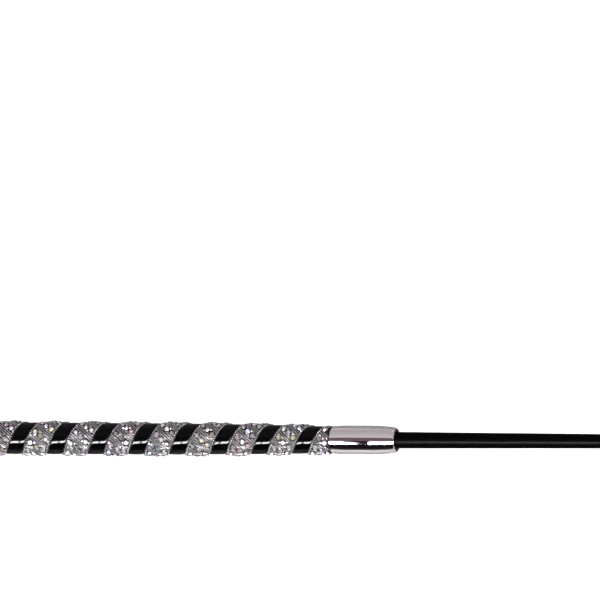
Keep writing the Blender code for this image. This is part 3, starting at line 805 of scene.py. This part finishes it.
# tip: thread whipping and the braided root of the lash
tip = dict(threadRadius=0.17 * mm, threadSpacing=0.36 * mm, crossTurns=2.4, strands=4, endRadius=1.98 * mm,
           leastRadius=2.15 * mm, threadRoom=0.3 * mm, coilMargin=0.3 * mm, coilLift=0.02 * mm,
           crossStart=1.0 * mm, crossEnd=0.8 * mm, crossLift=0.17 * mm)


def tubesAlong(name, lines, radius, resolution=2):
    # strands as closed tubes, made from poly curves and read back as one mesh
    curve = bpy.data.curves.new(name, "CURVE")
    curve.dimensions = "3D"
    curve.bevel_depth = radius
    curve.bevel_resolution = resolution
    curve.use_fill_caps = True
    for line in lines:
        spline = curve.splines.new("POLY")
        spline.points.add(len(line) - 1)
        for place, point in zip(spline.points, line):
            place.co = (*point, 1)
    maker = bpy.data.objects.new(name, curve)
    bpy.context.collection.objects.link(maker)
    bpy.context.view_layer.update()
    mesh = bpy.data.meshes.new_from_object(maker.evaluated_get(bpy.context.evaluated_depsgraph_get()))
    bm = bmesh.new()
    bm.from_mesh(mesh)
    bpy.data.objects.remove(maker)
    bpy.data.curves.remove(curve)
    bpy.data.meshes.remove(mesh)
    return bm


def coil(start, end, spacing, radiusAt, hand=1, phase=0.0, perTurn=18):
    turns = (end - start) / spacing
    line = []
    for share in spread(0, 1, max(round(turns * perTurn), 4)):
        x = start + (end - start) * share
        angle = tau * (turns * share * hand + phase)
        radius = radiusAt(x)
        line.append(Vector((x, radius * math.sin(angle), radius * math.cos(angle))))
    return line


def makeTipWhipping():
    start, end = startOf("tip_whipping"), endOf("tip_whipping")
    most = acrossHalf("tip_whipping")
    least = tip["leastRadius"]

    def bodyRadius(x):
        share = min(max((x - start) / (end - start), 0), 1)
        return least + (most - tip["threadRoom"] - least) * math.sin(math.pi * share) ** 0.6

    body = [(x, bodyRadius(x)) for x in spread(start, end, 24)]
    bm = turned([(start, tip["endRadius"])] + body + [(end, tip["endRadius"])], 48)
    lines = [coil(start + tip["coilMargin"], end - tip["coilMargin"], tip["threadSpacing"],
                  lambda x: bodyRadius(x) + tip["coilLift"])]
    crossing = (end - start) / tip["crossTurns"]
    for hand in (-1, 1):
        for strand in range(tip["strands"]):
            lines.append(coil(start + tip["crossStart"], end - tip["crossEnd"], crossing,
                              lambda x: bodyRadius(x) + tip["crossLift"], hand, strand / tip["strands"], 40))
    threads = tubesAlong("whippingThreads", lines, tip["threadRadius"])
    addCopy(bm, threads, Matrix.Identity(4))
    threads.free()
    bm.transform(whipPlace)
    addPiece("tipWhipping", bm, thread, "whip", ["tip_whipping"], sharp=60)


def braidRelief(turn, distance, carriers, repeat):
    rising = carriers * turn + distance / repeat
    falling = carriers * turn - distance / repeat
    over = (math.floor(rising) + math.floor(falling)) % 2
    across = rising if over else falling
    onward = falling if over else rising
    ridge = math.sin(math.pi * (across % 1)) ** 0.5
    return ridge * (0.7 + 0.3 * math.sin(math.pi * (onward % 1)))


root = dict(radius=1.95 * mm, endRadius=1.45 * mm, relief=0.22 * mm, carriers=4, repeat=2.1 * mm,
            under=1.2 * mm, past=0.7 * mm, pinch=0.25 * mm, lastFrom=0.84, lastShare=0.16,
            lastThinning=0.26, around=40)


def makeLashRoot():
    start = startOf("lash_root") - root["under"]
    end = endOf("lash_root") + root["past"]
    outline = [(start, 0)]
    for x in spread(start, end, 70):
        share = (x - start) / (end - start)
        swell = math.sin(math.pi * min(share * 1.15 + 0.1, 1)) ** 0.7
        pinch = root["pinch"]
        radius = root["endRadius"] - pinch + (root["radius"] - root["endRadius"] + pinch) * swell
        thinning = root["lastThinning"] * max(share - root["lastFrom"], 0) / root["lastShare"]
        outline.append((x, radius * (1 - thinning)))
    outline.append((end, 0))
    bm = turned(outline, root["around"])
    for vert in bm.verts:
        outward = Vector((0, vert.co.y, vert.co.z))
        if outward.length > 0.5 * mm:
            turn = math.atan2(vert.co.y, vert.co.z) / tau
            height = braidRelief(turn, vert.co.x - start, root["carriers"], root["repeat"]) - 0.6
            vert.co += outward.normalized() * root["relief"] * height
    bm.transform(whipPlace)
    addPiece("lashRoot", bm, lashNylon, "whip", ["lash_root"], sharp=80)


# lash: a braided cord that lies on the floor, bound at its end
lash = dict(radius=1.6 * mm, clear=0.03 * mm, carriers=4, repeat=2.6 * mm, relief=0.26 * mm, around=32,
            thinning=0.68 * mm, swell=7.0 * mm, spacing=0.4 * mm)
# offsets from the bend in millimetres: along, aside, lift off the floor
lashRoute = [
    (0.85, 0.0, 0.83), (6.0, 0.05, 0.52), (12.0, 0.4, 0.12), (20.0, 0.85, 0.0), (29.0, 1.15, 0.0),
    (38.0, 1.25, 0.0), (47.0, 1.2, 0.0), (54.0, 1.1, 0.0), (61.0, 1.3, 0.0), (69.0, 1.9, 0.0),
    (78.0, 2.35, 0.0), (87.0, 2.35, 0.0), (93.0, 1.75, 0.0), (101.0, 0.3, 0.0),
    (109.0, -1.5, 0.0), (117.0, -2.7, 0.12), (125.0, -3.0, 0.4),
]


def smoothRoute():
    lying = lash["radius"] + lash["clear"]
    points = [Vector((bendPoint.x + x * mm, bendPoint.y + y * mm, lying + z * mm)) for x, y, z in lashRoute]
    padded = [2 * points[0] - points[1]] + points + [2 * points[-1] - points[-2]]
    fine = []
    for before, start, end, after in zip(padded, padded[1:], padded[2:], padded[3:]):
        for t in spread(0, 1, 24)[:-1]:
            pull = (end - before) * t * (1 - t) ** 2 / 2 - (after - start) * t ** 2 * (1 - t) / 2
            fine.append(start * (1 + 2 * t) * (1 - t) ** 2 + end * t ** 2 * (3 - 2 * t) + pull)
    return fine + [points[-1]]


def routeLength(points):
    return sum((far - near).length for near, far in zip(points, points[1:]))


def makeLash():
    path = smoothRoute()
    total = routeLength(path)
    count = round(total / lash["spacing"])

    def lashRadius(x):  # it comes out of the neck binding thin and swells to its full width
        return lash["radius"] - lash["thinning"] * max(1 - x / lash["swell"], 0) ** 2

    outline = [(0.0, 0.0)] + [(x, lashRadius(x)) for x in spread(0, total, count)] + [(total, 0.0)]
    bm = turned(outline, lash["around"])
    travelled = [0.0]
    for near, far in zip(path, path[1:]):
        travelled.append(travelled[-1] + (far - near).length)
    step = 0
    for vert in sorted(bm.verts, key=lambda vert: vert.co.x):
        distance = vert.co.x
        while step < len(path) - 2 and travelled[step + 1] < distance:
            step += 1
        share = (distance - travelled[step]) / max(travelled[step + 1] - travelled[step], 1e-9)
        middle = path[step].lerp(path[step + 1], share)
        ahead = path[min(step + 6, len(path) - 1)] - path[max(step - 6, 0)]
        side = Vector((0, 0, 1)).cross(ahead).normalized()
        up = ahead.cross(side).normalized()
        reach = math.hypot(vert.co.y, vert.co.z)
        if reach > 0.1 * mm:
            turn = math.atan2(vert.co.y, vert.co.z) / tau
            height = braidRelief(turn, distance, lash["carriers"], lash["repeat"]) - 0.95
            scale = (reach + lash["relief"] * height) / reach
            middle = middle + side * vert.co.y * scale + up * vert.co.z * scale
        vert.co = middle
    bmesh.ops.recalc_face_normals(bm, faces=bm.faces)
    piece = addPiece("lashCord", bm, lashNylon, "lash", ["lash"], sharp=80)
    return piece, path, total


lashEnd = dict(length=5.0 * mm, coilRadius=1.76 * mm, steps=32, strands=46, strandRadius=0.15 * mm,
               strandRoom=1.25, strandLength=(9.5, 12.4), tuck=0.5 * mm, lowest=0.2 * mm)


def lashEndPlace(path):
    ahead = (path[-1] - path[-8]).normalized()
    return Matrix.Translation(path[-1]) @ ahead.to_track_quat("X", "Z").to_matrix().to_4x4()


def makeLashEnd(path):
    place = lashEndPlace(path)
    length = lashEnd["length"]
    outline = [(-0.6 * mm, 0), (-0.6 * mm, 1.5 * mm), (0.6 * mm, 1.7 * mm), (length * 0.5, 1.78 * mm),
               (length, 1.6 * mm), (length + 0.3 * mm, 1.1 * mm), (length + 0.3 * mm, 0)]
    bm = turned(outline, lashEnd["steps"])
    line = coil(-0.3 * mm, length, tip["threadSpacing"], lambda x: lashEnd["coilRadius"])
    threads = tubesAlong("endThreads", [line], tip["threadRadius"])
    addCopy(bm, threads, Matrix.Identity(4))
    threads.free()
    bm.transform(place)
    whipping = addPiece("lashEndBinding", bm, thread, "lash", ["lash_end_whipping"],
                        sharp=60)

    lines = []
    for strand in range(lashEnd["strands"]):
        angle = random.uniform(0, tau)
        reach = math.sqrt(random.uniform(0.02, 1))
        out = reach * lashEnd["strandRoom"] * mm
        start = Vector((length - lashEnd["tuck"], out * math.cos(angle), out * math.sin(angle)))
        long = random.uniform(*lashEnd["strandLength"]) * mm
        flare = random.uniform(0.9, 1.5)
        bend = Vector((0, random.uniform(-0.5, 0.5), random.uniform(-0.4, 0.4))) * mm
        line = []
        for share in spread(0, 1, 8):
            point = start + Vector((long * share, start.y * (flare - 1) * share,
                                    start.z * (flare - 1) * share))
            point += bend * math.sin(math.pi * share)
            placed = place @ point
            placed.z = max(placed.z, lashEnd["lowest"])
            line.append(placed)
        lines.append(line)
    bm = tubesAlong("tuftStrands", lines, lashEnd["strandRadius"], 1)
    bmesh.ops.recalc_face_normals(bm, faces=bm.faces)
    wrapUv(bm)
    tuft = addPiece("lashTuft", bm, lashNylon, "lash", ["lash_tuft"], sharp=60)
    return whipping, tuft


neck = dict(radius=1.5 * mm, ridge=0.09 * mm, ridgeSpacing=0.34 * mm, steps=40)


def makeNeckBinding():
    # a ball on the bend point, with thread ridges round it
    size = neck["radius"]
    outline = [(-size, 0)]
    for angle in spread(180, 0, 40)[1:-1]:
        x = size * math.cos(math.radians(angle))
        ridge = neck["ridge"] * abs(math.sin(math.pi * x / neck["ridgeSpacing"]))
        outline.append((x, size * math.sin(math.radians(angle)) + ridge))
    outline.append((size, 0))
    bm = turned(outline, neck["steps"])
    bm.transform(Matrix.Translation(bendPoint))
    addPiece("neckBinding", bm, thread, "neck", ["neck_whipping"], sharp=60)


makeCamera()
makeStudio()
lashPiece, lashPath, lashLength = makeLash()
endBinding, tuft = makeLashEnd(lashPath)
makeNeckBinding()
print("lash made,", round(lashLength, 4), "m")
makePatentStrip()
makeCrystalTape()
makeTrim()
print("grip made")
makeFerrule()
makeBush()
makeEndCap()
makeShaftBraid()
makeTipWhipping()
makeLashRoot()
print("metalwork, shaft and tip made")

for node, material in (("handle_core", corePlastic), ("cap_plug", corePlastic), ("shaft_core", fibre)):
    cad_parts[node].material_slots[0].material = material
